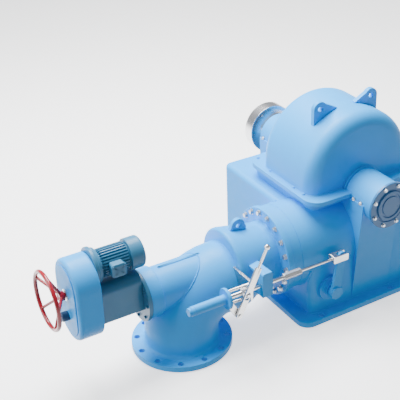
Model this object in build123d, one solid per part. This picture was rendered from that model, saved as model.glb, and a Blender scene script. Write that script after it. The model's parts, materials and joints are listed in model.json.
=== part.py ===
from build123d import *
import os
from math import cos, radians, sin, sqrt, tan

# Horizontal-shaft impulse water turbine with one jet.
# Millimetres. X runs along the jet, from the inlet towards the casing. Y runs along the shaft,
# towards the coupling. Z is up. The origin is on the floor, under the point where the shaft
# crosses the jet's plane.

# Heights and planes that the whole machine shares
shaft_z = 565.0
jet_z = 328.0
base_thickness = 30.0
running_clearance = 5.0
journal_clearance = 0.4

# Lower casing
case_half_width = 360.0
case_near_reach = 198.0
case_far_reach = 560.0
case_corner = 28.0
case_top_fillet = 24.0
neck_height = 53.0
neck_side_inset = 30.0
neck_far_inset = 14.0
neck_corner = 45.0

# Hood
hood_centre_y = 118.0
hood_width = 410.0
hood_radius = 294.0
hood_axis_rise = 73.0
hood_face_fillet = 65.0
hood_flange_thickness = 23.0
hood_flange_side_lip = 28.0
hood_flange_near_lip = 63.0
hood_flange_far_lip = 82.0
hood_flange_corner = 75.0
hood_lug_offset = 147.0
hood_lug_rise = 51.0
hood_lug_radius = 36.0
hood_lug_hole = 26.0
hood_lug_thickness = 24.0
hood_lug_y = 60.0
hood_lug_web = 95.0
hood_lug_web_step = 12.0
hood_lug_foot_depth = 108.0

# Base plate
base_side_margin = 67.0
base_near_margin = 55.0
base_far_margin = 71.0
base_corner = 60.0
anchor_hole = 28.0
anchor_near_edge = 26.0
anchor_far_edge = 48.0
anchor_span = 620.0
anchor_inner_x = 107.0
anchor_spot_radius = 24.0
anchor_spot_depth = 3.0
base_chamfer = 3.0

# Pedestals and bearings
pedestal_half_width = 111.0
ledge_thickness = 28.0
near_ledge_overhang = 47.0
far_ledge_overhang = 54.0
far_foot_overhang = 23.0
bearing_radius = 104.0
bearing_collar_radius = 110.0
bearing_collar_length = 16.0
near_bearing_overhang = 94.0
far_bearing_overhang = 58.0
cap_radius = 114.0
cap_thickness = 15.0
cap_ring_radius = 73.0
cap_ring_width = 14.0
cap_ring_height = 5.0
cap_centre_radius = 46.0
cap_centre_height = 4.0
seal_radius = 84.0
seal_thickness = 9.0

# Rotor shaft and coupling
shaft_radius = 45.0
coupling_radius = 128.6
coupling_rim_width = 60.0
coupling_hub_radius = 62.0
coupling_neck_length = 35.0
coupling_rim_land = 8.0
coupling_hollow_across = 0.3
coupling_hollow_along = 0.72
coupling_spigot_radius = 40.0
coupling_spigot_depth = 8.0
coupling_bolt_circle = 210.0
coupling_bolt_hole = 17.5
coupling_bolt_depth = 32.0
coupling_bolt_count = 8

# Nozzle stub on the casing and the bolted pipe flange
stub_radius = 204.0
stub_length = 100.0
spool_flange_radius = 213.0
spool_flange_thickness = 28.0

# Inlet flange and bend
inlet_x = -934.0
inlet_flange_diameter = 460.0
inlet_flange_thickness = 28.0
inlet_bolt_circle = 410.0
inlet_bolt_hole = 26.0
inlet_bolt_count = 12
inlet_bore = 300.0
inlet_wall = 18.0
inlet_flare = 17.0
bend_radius = 185.0
bend_axis_z = 275.0
bend_run = 60.0

# Nozzle spool: the round body between the bend and the bolted flange
spool_radius = 177.0
spool_shoulder_offset = 222.0
spool_shoulder_round = 12.0
spool_wall = 20.0
spool_taper_offset = 245.0
spool_neck_radius = 147.0
spool_neck_length = 34.0
spool_lug_x = -630.0
spool_lug_length = 83.0
spool_lug_radius = 34.0
spool_lug_rise = 11.0
spool_lug_hole = 22.0
spool_lug_thickness = 20.0

# Needle tube and the drive on its end
tube_radius = 103.0
tube_reach = 128.0
collar_radius = 113.0
collar_length = 58.0
collar_chamfer = 4.0
gear_flange_radius = 118.0
gear_flange_thickness = 20.0
gear_length = 185.0
gear_half_width = 60.0
gear_bottom_z = 286.0
gear_top_z = 466.0
gear_top_round = 44.0
gear_foot_round = 8.0
gear_plate_thickness = 20.0
gear_plate_inset = 9.0
cover_depth = 108.0
cover_radius = 120.0
cover_low_z = 357.0
cover_high_z = 494.0
cover_front_round = 16.0
cover_back_round = 6.0
cover_plate_inset = 24.0
cover_plate_thickness = 4.0
spindle_boss_z = 353.0
spindle_boss_radius = 21.0
spindle_boss_length = 32.0
spindle_boss_chamfer = 4.0

# Handwheel
handwheel_z = 457.0
handwheel_radius = 125.0
handwheel_rim_radius = 9.0
handwheel_dish = 64.0
handwheel_hub_radius = 21.0
handwheel_hub_length = 22.0
handwheel_spoke_radius = 6.5
handwheel_spoke_count = 5
handwheel_spoke_phase = 64.0
handwheel_shaft_radius = 11.0
handwheel_shaft_seat = 24.0
handwheel_boss_radius = 26.0
handwheel_boss_length = 4.0

# Drive motor
motor_z = 553.0
motor_flange_radius = 84.0
motor_flange_thickness = 36.0
motor_flange_chamfer = 10.0
motor_body_radius = 62.0
motor_body_length = 132.0
fan_cover_radius = 70.0
fan_cover_length = 64.0
fan_cover_round = 12.0
terminal_length = 68.0
terminal_height = 62.0
terminal_reach = 98.0
terminal_inset = 24.0
terminal_round = 14.0

# Deflector linkage on the near side
rod_wall_distance = 52.0
rod_z = 345.0
rod_travel = 52.0
servo_rod_radius = 10.0
link_rod_radius = 7.0
barrel_radius = 22.0
barrel_bore_radius = 15.0
barrel_length = 179.0
servo_rod_overlap = 40.0
barrel_flange_x = -842.0
barrel_flange_radius = 48.0
barrel_flange_thickness = 14.0
tie_rod_radius = 6.0
tie_rod_offset = 33.0
yoke_x = -722.0
yoke_thickness = 12.0
yoke_half_height = 48.0
yoke_lip = 16.0
guide_x = -641.5
guide_length = 53.0
guide_top_z = 413.0
guide_bottom_z = 291.0
guide_half_width = 20.0
guide_round = 12.0
shelf_thickness = 12.0
rod_slide_gap = 0.3
trip_block_size = 32.0
trip_block_length = 28.0
trip_pin_radius = 7.0
trip_x = -752.0
turnbuckle_radius = 17.0
turnbuckle_start_x = -547.0
turnbuckle_length = 92.0
fork_pin_x = -225.0
fork_height = 36.0
fork_width = 44.0
fork_slot = 22.0
fork_root = 29.0
fork_nose = 25.0
fork_shank = 29.0
fork_pin_radius = 7.0
fork_edge_round = 7.0
open_pivot_gap = 3.5

# Deflector crank
crank_z = 151.0
crank_thickness = 14.0
crank_eye_radius = 21.0
crank_foot_radius = 27.0
crank_boss_radius = 32.0
crank_boss_width = 31.0
crank_shaft_radius = 18.0
crank_bearing_radius = 62.0
crank_bearing_thickness = 14.0
crank_hub_radius = 34.0
crank_hub_length = 14.0
crank_bore_depth = 11.0

# Hand lever
lever_pivot_z = 255.0
lever_lean = 25.5
lever_thickness = 10.0
lever_rod_distance = 29.0
lever_plate_width = 30.0
lever_plate_length = 232.0
lever_grip_radius = 6.5
lever_grip_length = 100.0
lever_knob_radius = 13.0
lever_pivot_radius = 8.0
lever_bracket_thickness = 12.0
lever_bracket_round = 16.0
lever_bracket_seat_length = 14.0
lever_bracket_seat_height = 30.0
lever_bracket_gap = 2.0
lever_slot_travel = 16.0
lever_slot_drop = 4.0
lever_grip_root = 12.0

# Places worked out from the sizes above
case_top_z = shaft_z - neck_height
hood_near_y = hood_centre_y - hood_width / 2
hood_far_y = hood_centre_y + hood_width / 2
hood_axis_z = shaft_z + hood_axis_rise
flange_half_width = hood_radius + hood_flange_side_lip
flange_near_y = hood_near_y - hood_flange_near_lip
flange_far_y = hood_far_y + hood_flange_far_lip
neck_half_width = flange_half_width - neck_side_inset
neck_far_y = flange_far_y - neck_far_inset
near_bearing_end_y = -case_near_reach - near_bearing_overhang
far_bearing_end_y = case_far_reach + far_bearing_overhang
near_ledge_y = -case_near_reach - near_ledge_overhang
far_ledge_y = case_far_reach + far_ledge_overhang
shaft_clear_radius = shaft_radius + running_clearance
stub_face_x = -case_half_width - stub_length
spool_front_x = stub_face_x - spool_flange_thickness
spool_rear_x = inlet_x + spool_shoulder_offset
spool_taper_x = inlet_x + spool_taper_offset
bend_centre_x = inlet_x + bend_radius
bend_centre_z = bend_axis_z - bend_radius
collar_front_x = inlet_x - tube_reach
collar_rear_x = collar_front_x - collar_length
gear_front_x = collar_rear_x - gear_flange_thickness
gear_rear_x = gear_front_x - gear_length
cover_back_x = gear_rear_x - gear_plate_thickness
cover_face_x = cover_back_x - cover_depth
plate_face_x = cover_face_x - cover_plate_thickness
boss_face_x = plate_face_x - handwheel_boss_length
barrel_front_x = barrel_flange_x - barrel_flange_thickness / 2
flange_front_x = barrel_flange_x + barrel_flange_thickness / 2
rod_y = -case_near_reach - rod_wall_distance
lever_y = rod_y - lever_rod_distance
crank_x = fork_pin_x - rod_travel / 2
lever_pivot_x = trip_x - (rod_z - lever_pivot_z) * tan(radians(lever_lean))


def cylinder_x(radius, start, end, y, z):
    """Cylinder along X between two places."""
    turned = Pos((start + end) / 2, y, z) * Rot(0, 90, 0)
    return turned * Cylinder(radius, abs(end - start))


def cylinder_y(radius, start, end, x, z):
    """Cylinder along Y between two places."""
    turned = Pos(x, (start + end) / 2, z) * Rot(90, 0, 0)
    return turned * Cylinder(radius, abs(end - start))


def cylinder_z(radius, start, end, x, y):
    """Cylinder along Z between two heights."""
    return Pos(x, y, (start + end) / 2) * Cylinder(radius, abs(end - start))


def block(x0, x1, y0, y1, z0, z1):
    """Rectangular block between two corners."""
    centre = Pos((x0 + x1) / 2, (y0 + y1) / 2, (z0 + z1) / 2)
    return centre * Box(abs(x1 - x0), abs(y1 - y0), abs(z1 - z0))


def rounded_slab(x0, x1, y0, y1, z0, z1, corner):
    """Slab with rounded vertical corners."""
    outline = RectangleRounded(x1 - x0, y1 - y0, corner)
    return extrude(Pos((x0 + x1) / 2, (y0 + y1) / 2, z0) * outline, z1 - z0)


def plate_xz(outline, y0, y1):
    """Upright plate: an outline drawn in X and Z, between two Y places."""
    return extrude(Plane.XZ.offset(-y1) * outline, y1 - y0)


def plate_yz(outline, x0, x1):
    """Upright plate: an outline drawn in Y and Z, between two X places."""
    return extrude(Plane.YZ.offset(x0) * outline, x1 - x0)


def turned_y(face, x, z):
    """Body turned about an axis along Y from a face in X and Y."""
    return Pos(x, 0, z) * revolve(face, Axis.Y)


# Shapes that several pieces are cut by
near_bearing_space = cylinder_y(bearing_radius, near_bearing_end_y, hood_near_y, 0, shaft_z)
far_bearing_space = cylinder_y(bearing_radius, hood_far_y, far_bearing_end_y, 0, shaft_z)
collar_space = cylinder_y(bearing_collar_radius, hood_near_y - bearing_collar_length, hood_near_y,
                          0, shaft_z)
shaft_space = cylinder_y(shaft_clear_radius, hood_near_y, hood_far_y, 0, shaft_z)


def make_base_plate():
    half = case_half_width + base_side_margin
    near = -case_near_reach - base_near_margin
    far = case_far_reach + base_far_margin
    plate = rounded_slab(-half, half, near, far, 0, base_thickness, base_corner)
    plate = chamfer(plate.faces().sort_by(Axis.Z)[-1].edges(), base_chamfer)
    spot_z = base_thickness - anchor_spot_depth
    for x in (-anchor_span / 2, anchor_inner_x, anchor_span / 2):
        for y in (near + anchor_near_edge, far - anchor_far_edge):
            plate -= cylinder_z(anchor_hole / 2, 0, spot_z, x, y)
            plate -= cylinder_z(anchor_spot_radius, spot_z, base_thickness, x, y)
    return plate


def make_lower_casing():
    """Box whose near wall rolls over above the jet, flush with the nozzle stub."""
    box = rounded_slab(-case_half_width, case_half_width, -case_near_reach, case_far_reach,
                       base_thickness, case_top_z, case_corner)
    box = fillet(box.faces().sort_by(Axis.Z)[-1].edges(), case_top_fillet)
    shoulder = block(-case_half_width, case_half_width, -case_near_reach, 0, jet_z, case_top_z)
    box -= shoulder - cylinder_x(stub_radius, -case_half_width, case_half_width, 0, jet_z)
    neck = rounded_slab(-neck_half_width, neck_half_width, hood_near_y, neck_far_y,
                        jet_z, shaft_z, neck_corner)
    bulge = cylinder_x(stub_radius, -case_half_width, -pedestal_half_width, 0, jet_z)
    casing = box + neck + bulge
    return casing - near_bearing_space - far_bearing_space - collar_space - shaft_space


def make_nozzle_stub():
    return cylinder_x(stub_radius, stub_face_x, -case_half_width, 0, jet_z)


def hood_envelope():
    """Round-topped hood body with both flat faces filleted."""
    low = shaft_z + hood_flange_thickness
    outline = Pos(0, hood_axis_z) * Circle(hood_radius)
    outline += Pos(0, (low + hood_axis_z) / 2) * Rectangle(2 * hood_radius, hood_axis_z - low)
    outline -= Pos(0, low - hood_radius / 2) * Rectangle(2 * hood_radius, hood_radius)
    body = plate_xz(outline, hood_near_y, hood_far_y)
    rims = [edge for edge in body.edges().filter_by(GeomType.CIRCLE)]
    sides = [edge for edge in body.edges().filter_by(Axis.Z)]
    return fillet(rims + sides, hood_face_fillet)


hood_solid = hood_envelope()


def make_hood():
    flange = rounded_slab(-flange_half_width, flange_half_width, flange_near_y, flange_far_y,
                          shaft_z, shaft_z + hood_flange_thickness, hood_flange_corner)
    hood = hood_solid + flange
    return hood - near_bearing_space - far_bearing_space - collar_space - shaft_space


def make_hood_lug(side):
    """Lifting lug on the crown; its web slopes towards the middle of the hood."""
    x = side * hood_lug_offset
    eye_z = hood_axis_z + sqrt(hood_radius ** 2 - hood_lug_offset ** 2) + hood_lug_rise
    outer = x + side * hood_lug_radius
    inner = x - side * hood_lug_web
    low = eye_z - hood_lug_foot_depth
    web = make_face(Polyline((outer, eye_z), (outer, low), (inner, low),
                             (inner, eye_z - hood_lug_web_step), (x, eye_z + hood_lug_radius),
                             close=True))
    outline = web + Pos(x, eye_z) * Circle(hood_lug_radius)
    outline -= Pos(x, eye_z) * Circle(hood_lug_hole / 2)
    lug = plate_xz(outline, hood_lug_y - hood_lug_thickness / 2, hood_lug_y + hood_lug_thickness / 2)
    return lug - hood_solid


def make_near_pedestal():
    """Bracket under the near bearing: flush with the wall at its foot, deeper at its ledge."""
    ledge_low = shaft_z - ledge_thickness
    outline = make_face(Polyline((-case_near_reach, base_thickness), (near_ledge_y, ledge_low),
                                 (near_ledge_y, shaft_z), (hood_near_y, shaft_z),
                                 (hood_near_y, base_thickness), close=True))
    pedestal = plate_yz(outline, -pedestal_half_width, pedestal_half_width)
    return pedestal - near_bearing_space - collar_space - lower_casing


def make_far_pedestal():
    ledge_low = shaft_z - ledge_thickness
    outline = make_face(Polyline((case_far_reach, base_thickness), (case_far_reach, case_top_z),
                                 (neck_far_y, case_top_z), (neck_far_y, shaft_z),
                                 (far_ledge_y, shaft_z), (far_ledge_y, ledge_low),
                                 (case_far_reach + far_foot_overhang, base_thickness), close=True))
    pedestal = plate_yz(outline, -pedestal_half_width, pedestal_half_width)
    return pedestal - far_bearing_space - lower_casing


def make_near_bearing_housing():
    housing = near_bearing_space + collar_space
    bore = cylinder_y(shaft_radius + journal_clearance, near_bearing_end_y, hood_near_y, 0, shaft_z)
    return housing - bore


def make_near_bearing_cap():
    face_y = near_bearing_end_y - cap_thickness
    cap = cylinder_y(cap_radius, face_y, near_bearing_end_y, 0, shaft_z)
    ring = cylinder_y(cap_ring_radius, face_y - cap_ring_height, face_y, 0, shaft_z)
    ring -= cylinder_y(cap_ring_radius - cap_ring_width, face_y - cap_ring_height, face_y, 0, shaft_z)
    centre = cylinder_y(cap_centre_radius, face_y - cap_centre_height, face_y, 0, shaft_z)
    return cap + ring + centre


def make_far_bearing_housing():
    bore = cylinder_y(shaft_radius + journal_clearance, hood_far_y, far_bearing_end_y, 0, shaft_z)
    return far_bearing_space - bore


def make_far_seal_ring():
    end_y = far_bearing_end_y + seal_thickness
    ring = cylinder_y(seal_radius, far_bearing_end_y, end_y, 0, shaft_z)
    return ring - cylinder_y(shaft_radius + journal_clearance, far_bearing_end_y, end_y, 0, shaft_z)


def coupling_neck_y():
    return far_bearing_end_y + seal_thickness + running_clearance


def make_rotor_shaft():
    near_end = near_bearing_end_y + running_clearance
    return cylinder_y(shaft_radius, near_end, coupling_neck_y(), 0, shaft_z)


def make_shaft_coupling():
    """Coupling flange: a rim with a concave back that narrows to the hub."""
    neck_y = coupling_neck_y()
    back_y = neck_y + coupling_neck_length
    face_y = back_y + coupling_rim_width
    hollow = back_y - neck_y - running_clearance
    lip = coupling_radius - coupling_hub_radius - coupling_rim_land
    rim_point = (coupling_hub_radius + lip, back_y)
    hub_point = (coupling_hub_radius, neck_y + running_clearance)
    middle = (coupling_hub_radius + lip * coupling_hollow_across,
              neck_y + running_clearance + hollow * coupling_hollow_along)
    edges = [
        Line((0, neck_y), (coupling_hub_radius, neck_y)),
        Line((coupling_hub_radius, neck_y), hub_point),
        ThreePointArc(hub_point, middle, rim_point),
        Line(rim_point, (coupling_radius, back_y)),
        Line((coupling_radius, back_y), (coupling_radius, face_y)),
        Line((coupling_radius, face_y), (0, face_y)),
        Line((0, face_y), (0, neck_y)),
    ]
    coupling = turned_y(make_face(edges), 0, shaft_z)
    coupling -= cylinder_y(coupling_spigot_radius, face_y - coupling_spigot_depth, face_y, 0, shaft_z)
    for index in range(coupling_bolt_count):
        angle = radians(360 / coupling_bolt_count * index)
        x = coupling_bolt_circle / 2 * cos(angle)
        z = shaft_z + coupling_bolt_circle / 2 * sin(angle)
        coupling -= cylinder_y(coupling_bolt_hole / 2, face_y - coupling_bolt_depth, face_y, x, z)
    return coupling


def bend_solid(radius, drop):
    """Bend filled solid at one radius: upright run, quarter turn, level run and round end."""
    foot_z = inlet_flange_thickness - drop
    upright = cylinder_z(radius, foot_z, bend_centre_z, inlet_x, 0)
    ring = revolve(Plane.XY * Pos(inlet_x, 0) * Circle(radius),
                   Axis((bend_centre_x, 0, 0), (0, 1, 0)), 90)
    turn = Pos(0, 0, bend_centre_z) * ring
    end_x = bend_centre_x + bend_run
    level = cylinder_x(radius, bend_centre_x, end_x, 0, bend_axis_z)
    return upright + turn + level + Pos(end_x, 0, bend_axis_z) * Sphere(radius)


def spool_profile(inset, front_x):
    """Turned profile of the spool: rounded shoulder, straight run, taper and neck."""
    rear = spool_rear_x + inset
    radius = spool_radius - inset
    neck = spool_neck_radius - inset
    rounding = spool_shoulder_round
    neck_x = spool_front_x - spool_neck_length
    taper_x = spool_taper_x + inset
    corner = (rear + rounding * (1 - cos(radians(45))), radius - rounding * (1 - sin(radians(45))))
    edges = [
        Line((rear, 0), (rear, radius - rounding)),
        ThreePointArc((rear, radius - rounding), corner, (rear + rounding, radius)),
        Line((rear + rounding, radius), (taper_x, radius)),
        Line((taper_x, radius), (neck_x, neck)),
        Line((neck_x, neck), (front_x, neck)),
        Line((front_x, neck), (front_x, 0)),
        Line((front_x, 0), (rear, 0)),
    ]
    return Pos(0, 0, jet_z) * revolve(make_face(edges), Axis.X)


bend_outside = bend_solid(inlet_bore / 2 + inlet_wall, 0)
bend_inside = bend_solid(inlet_bore / 2, inlet_flange_thickness)
spool_outside = spool_profile(0, spool_front_x)
spool_inside = spool_profile(spool_wall, spool_front_x)


def make_inlet_flange():
    flange = cylinder_z(inlet_flange_diameter / 2, 0, inlet_flange_thickness, inlet_x, 0)
    flange -= cylinder_z(inlet_bore / 2, 0, inlet_flange_thickness, inlet_x, 0)
    for index in range(inlet_bolt_count):
        angle = radians(360 / inlet_bolt_count * index)
        x = inlet_x + inlet_bolt_circle / 2 * cos(angle)
        y = inlet_bolt_circle / 2 * sin(angle)
        flange -= cylinder_z(inlet_bolt_hole / 2, 0, inlet_flange_thickness, x, y)
    return flange


def make_inlet_bend():
    outer = inlet_bore / 2 + inlet_wall
    foot = inlet_flange_thickness
    edges = [
        Line((0, foot), (outer + inlet_flare, foot)),
        RadiusArc((outer + inlet_flare, foot), (outer, foot + inlet_flare), inlet_flare),
        Line((outer, foot + inlet_flare), (0, foot + inlet_flare)),
        Line((0, foot + inlet_flare), (0, foot)),
    ]
    flare = Pos(inlet_x, 0, 0) * revolve(Plane.XZ * make_face(edges), Axis.Z)
    return bend_outside + flare - spool_outside - bend_inside - spool_inside


def make_nozzle_spool():
    return spool_outside - spool_inside - bend_inside


def make_spool_flange():
    flange = cylinder_x(spool_flange_radius, spool_front_x, stub_face_x, 0, jet_z)
    return flange - cylinder_x(spool_neck_radius - spool_wall, spool_front_x, stub_face_x, 0, jet_z)


def make_spool_lug():
    crown_z = jet_z + spool_radius
    eye_z = crown_z + spool_lug_rise
    rear = spool_lug_x - spool_lug_length / 2
    front = spool_lug_x + spool_lug_length / 2
    low = crown_z - spool_lug_radius
    shoulder = spool_lug_radius * sin(radians(45))
    web = make_face(Polyline((rear, low), (front, low), (front, crown_z),
                             (spool_lug_x + shoulder, eye_z + shoulder),
                             (spool_lug_x - shoulder, eye_z + shoulder), (rear, crown_z),
                             close=True))
    outline = web + Pos(spool_lug_x, eye_z) * Circle(spool_lug_radius)
    outline -= Pos(spool_lug_x, eye_z) * Circle(spool_lug_hole / 2)
    lug = plate_xz(outline, -spool_lug_thickness / 2, spool_lug_thickness / 2)
    return lug - spool_outside


def make_needle_tube():
    tube = cylinder_x(tube_radius, collar_front_x, spool_rear_x, 0, jet_z)
    return tube - bend_outside - spool_outside


def make_tube_collar():
    collar = cylinder_x(collar_radius, collar_rear_x, collar_front_x, 0, jet_z)
    collar = chamfer(collar.edges().filter_by(GeomType.CIRCLE).sort_by(Axis.X)[-1], collar_chamfer)
    return collar - bend_outside


def make_gear_flange():
    return cylinder_x(gear_flange_radius, gear_front_x, collar_rear_x, 0, jet_z)


def gear_block(inset, rear, front):
    """Gear housing section between two places: an upright block with a well-rounded top."""
    side = gear_half_width - inset
    body = block(rear, front, -side, side, gear_bottom_z + inset, gear_top_z - inset)
    edges = body.edges().filter_by(Axis.X).group_by(Axis.Z)
    body = fillet(edges[-1], gear_top_round - inset)
    foot = body.edges().filter_by(Axis.X).group_by(Axis.Z)[0]
    return fillet(foot, gear_foot_round)


def make_gear_housing():
    return gear_block(0, gear_rear_x, gear_front_x)


def make_gear_plate():
    return gear_block(gear_plate_inset, cover_back_x, gear_rear_x)


def cover_outline(inset):
    """Upright oval: two half circles joined by straight sides."""
    radius = cover_radius - inset
    middle_z = (cover_low_z + cover_high_z) / 2
    outline = Pos(0, middle_z) * Rectangle(2 * radius, cover_high_z - cover_low_z)
    outline += Pos(0, cover_low_z) * Circle(radius)
    return outline + Pos(0, cover_high_z) * Circle(radius)


def make_gear_cover():
    cover = plate_yz(cover_outline(0), cover_face_x, cover_back_x)
    cover = fillet(cover.faces().sort_by(Axis.X)[0].edges(), cover_front_round)
    cover = fillet(cover.faces().sort_by(Axis.X)[-1].edges(), cover_back_round)
    bore_end = cover_face_x + handwheel_shaft_seat + running_clearance
    return cover - cylinder_x(handwheel_shaft_radius + journal_clearance, cover_face_x, bore_end,
                              0, handwheel_z)


def make_gear_cover_plate():
    plate = plate_yz(cover_outline(cover_plate_inset), plate_face_x, cover_face_x)
    return plate - cylinder_x(handwheel_shaft_radius + journal_clearance, plate_face_x, cover_face_x,
                              0, handwheel_z)


def make_spindle_boss():
    tip = plate_face_x - spindle_boss_length
    boss = cylinder_x(spindle_boss_radius, tip, plate_face_x, 0, spindle_boss_z)
    return chamfer(boss.edges().filter_by(GeomType.CIRCLE).sort_by(Axis.X)[0], spindle_boss_chamfer)


def make_handwheel_boss():
    boss = cylinder_x(handwheel_boss_radius, boss_face_x, plate_face_x, 0, handwheel_z)
    return boss - cylinder_x(handwheel_shaft_radius + journal_clearance, boss_face_x, plate_face_x,
                             0, handwheel_z)


def spoke_root_x():
    return boss_face_x - running_clearance - handwheel_spoke_radius


def handwheel_rim_x():
    return spoke_root_x() - handwheel_dish


def make_handwheel_rim():
    rim = Torus(handwheel_radius, handwheel_rim_radius)
    return Pos(handwheel_rim_x(), 0, handwheel_z) * Rot(0, 90, 0) * rim


def make_handwheel_hub():
    """Hub with its shaft and the spokes, which lean out to the dished rim."""
    hub_front = boss_face_x - running_clearance
    hub_rear = hub_front - handwheel_hub_length
    hub = cylinder_x(handwheel_hub_radius, hub_rear, hub_front, 0, handwheel_z)
    hub += cylinder_x(handwheel_shaft_radius, hub_front, cover_face_x + handwheel_shaft_seat,
                      0, handwheel_z)
    for index in range(handwheel_spoke_count):
        angle = radians(handwheel_spoke_phase + 360 / handwheel_spoke_count * index)
        start = Vector(spoke_root_x(), 0, handwheel_z)
        end = Vector(handwheel_rim_x(), handwheel_radius * sin(angle),
                     handwheel_z + handwheel_radius * cos(angle))
        along = end - start
        spoke = extrude(Plane(origin=start, z_dir=along) * Circle(handwheel_spoke_radius),
                        along.length)
        hub += spoke
    return hub - make_handwheel_rim()


def make_motor_flange():
    flange = cylinder_x(motor_flange_radius, cover_back_x, cover_back_x + motor_flange_thickness,
                        0, motor_z)
    return chamfer(flange.edges().filter_by(GeomType.CIRCLE).sort_by(Axis.X)[-1], motor_flange_chamfer)


def motor_body_start():
    return cover_back_x + motor_flange_thickness


def make_motor_body():
    start = motor_body_start()
    return cylinder_x(motor_body_radius, start, start + motor_body_length, 0, motor_z)


def make_motor_fan_cover():
    start = motor_body_start() + motor_body_length
    cover = cylinder_x(fan_cover_radius, start, start + fan_cover_length, 0, motor_z)
    return fillet(cover.edges().filter_by(GeomType.CIRCLE).sort_by(Axis.X)[-1], fan_cover_round)


def make_motor_terminal_box():
    start = motor_body_start() + terminal_inset
    low = motor_z - terminal_height / 2
    box = block(start, start + terminal_length, -terminal_reach, 0, low, low + terminal_height)
    box = fillet(box.faces().sort_by(Axis.Y)[0].edges(), terminal_round)
    return box - make_motor_body()


def make_servo_barrel():
    rear = barrel_front_x - barrel_length
    barrel = cylinder_x(barrel_radius, rear, barrel_front_x, rod_y, rod_z)
    return barrel - cylinder_x(barrel_bore_radius, rear + barrel_flange_thickness, barrel_front_x,
                               rod_y, rod_z)


def rod_bore(start, end):
    return cylinder_x(servo_rod_radius + rod_slide_gap, start, end, rod_y, rod_z)


def make_barrel_flange():
    flange = cylinder_x(barrel_flange_radius, barrel_front_x, flange_front_x, rod_y, rod_z)
    return flange - rod_bore(barrel_front_x, flange_front_x)


def make_rod_yoke():
    """Plate from the bend that ends the two tie rods of the servo barrel."""
    rear = yoke_x - yoke_thickness / 2
    front = yoke_x + yoke_thickness / 2
    near_y = rod_y - yoke_lip
    yoke = block(rear, front, near_y, 0, rod_z - yoke_half_height, rod_z + yoke_half_height)
    for z in (rod_z - tie_rod_offset, rod_z + tie_rod_offset):
        yoke += cylinder_x(tie_rod_radius, flange_front_x, rear, rod_y, z)
    return yoke - bend_outside - spool_outside - rod_bore(rear, front)


def make_rod_guide():
    """Upright guide block around the rod, hung from a shelf on the spool."""
    rear = guide_x - guide_length / 2
    front = guide_x + guide_length / 2
    near_y = rod_y - guide_half_width
    guide = block(rear, front, near_y, rod_y + guide_half_width, guide_bottom_z, guide_top_z)
    upper = guide.edges().filter_by(Axis.Y).group_by(Axis.Z)[-1]
    guide = fillet(upper, guide_round)
    shelf = block(rear, front, rod_y, 0, guide_top_z - guide_round - shelf_thickness,
                  guide_top_z - guide_round)
    return guide + shelf - spool_outside - rod_bore(rear, front)


def make_servo_rod():
    """Sliding rod with the block and pin that the hand lever follows."""
    rear = barrel_front_x - servo_rod_overlap
    rod = cylinder_x(servo_rod_radius, rear, turnbuckle_start_x, rod_y, rod_z)
    half = trip_block_size / 2
    rod += block(trip_x - trip_block_length / 2, trip_x + trip_block_length / 2,
                 rod_y - half, rod_y + half, rod_z - half, rod_z + half)
    pin_end = lever_y - lever_thickness
    return rod + cylinder_y(trip_pin_radius, pin_end, rod_y, trip_x, rod_z)


def make_link_rod():
    """Turnbuckle and the thinner rod in front of it."""
    turnbuckle_end = turnbuckle_start_x + turnbuckle_length
    hexagon = RegularPolygon(turnbuckle_radius, 6)
    link = Pos(0, rod_y, rod_z) * plate_yz(hexagon, turnbuckle_start_x, turnbuckle_end)
    rod_end = fork_pin_x - fork_root - fork_shank
    return link + cylinder_x(link_rod_radius, turnbuckle_end, rod_end, rod_y, rod_z)


def make_rod_fork():
    root = fork_pin_x - fork_root
    rear = root - fork_shank
    front = fork_pin_x + fork_nose
    fork = block(rear, front, rod_y - fork_width / 2, rod_y + fork_width / 2,
                 rod_z - fork_height / 2, rod_z + fork_height / 2)
    fork = fillet(fork.edges().filter_by(Axis.Y), fork_edge_round)
    fork -= block(root, front, rod_y - fork_slot / 2, rod_y + fork_slot / 2,
                  rod_z - fork_height / 2, rod_z + fork_height / 2)
    return fork + cylinder_y(fork_pin_radius, rod_y - fork_width / 2, rod_y + fork_width / 2,
                             fork_pin_x, rod_z)


def crank_boss_near_y():
    return rod_y - crank_boss_width / 2


def crank_boss_far_y():
    return rod_y + crank_boss_width / 2


def make_crank_bearing():
    flange_y = -case_near_reach - crank_bearing_thickness
    hub_y = flange_y - crank_hub_length
    bearing = cylinder_y(crank_bearing_radius, flange_y, -case_near_reach, crank_x, crank_z)
    bearing += cylinder_y(crank_hub_radius, hub_y, flange_y, crank_x, crank_z)
    bore = crank_shaft_radius + journal_clearance
    bore_end = flange_y + crank_bore_depth
    return bearing - cylinder_y(bore, hub_y, bore_end, crank_x, crank_z)


def make_deflector_crank():
    """Crank on the deflector shaft; its eye has play around the fork's pin."""
    foot = Pos(crank_x, crank_z) * Circle(crank_foot_radius)
    eye = Pos(fork_pin_x, rod_z) * Circle(crank_eye_radius)
    arm = make_hull((foot + eye).edges())
    arm -= Pos(fork_pin_x, rod_z) * Circle(fork_pin_radius + open_pivot_gap)
    crank = plate_xz(arm, rod_y - crank_thickness / 2, rod_y + crank_thickness / 2)
    crank += cylinder_y(crank_boss_radius, crank_boss_near_y(), crank_boss_far_y(), crank_x, crank_z)
    shaft_end = -case_near_reach - running_clearance
    return crank + cylinder_y(crank_shaft_radius, crank_boss_far_y(), shaft_end, crank_x, crank_z)


def lever_bracket_far_y():
    """Far face of the bracket plate, clear of the tie rods."""
    return rod_y - tie_rod_radius - lever_bracket_gap


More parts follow.
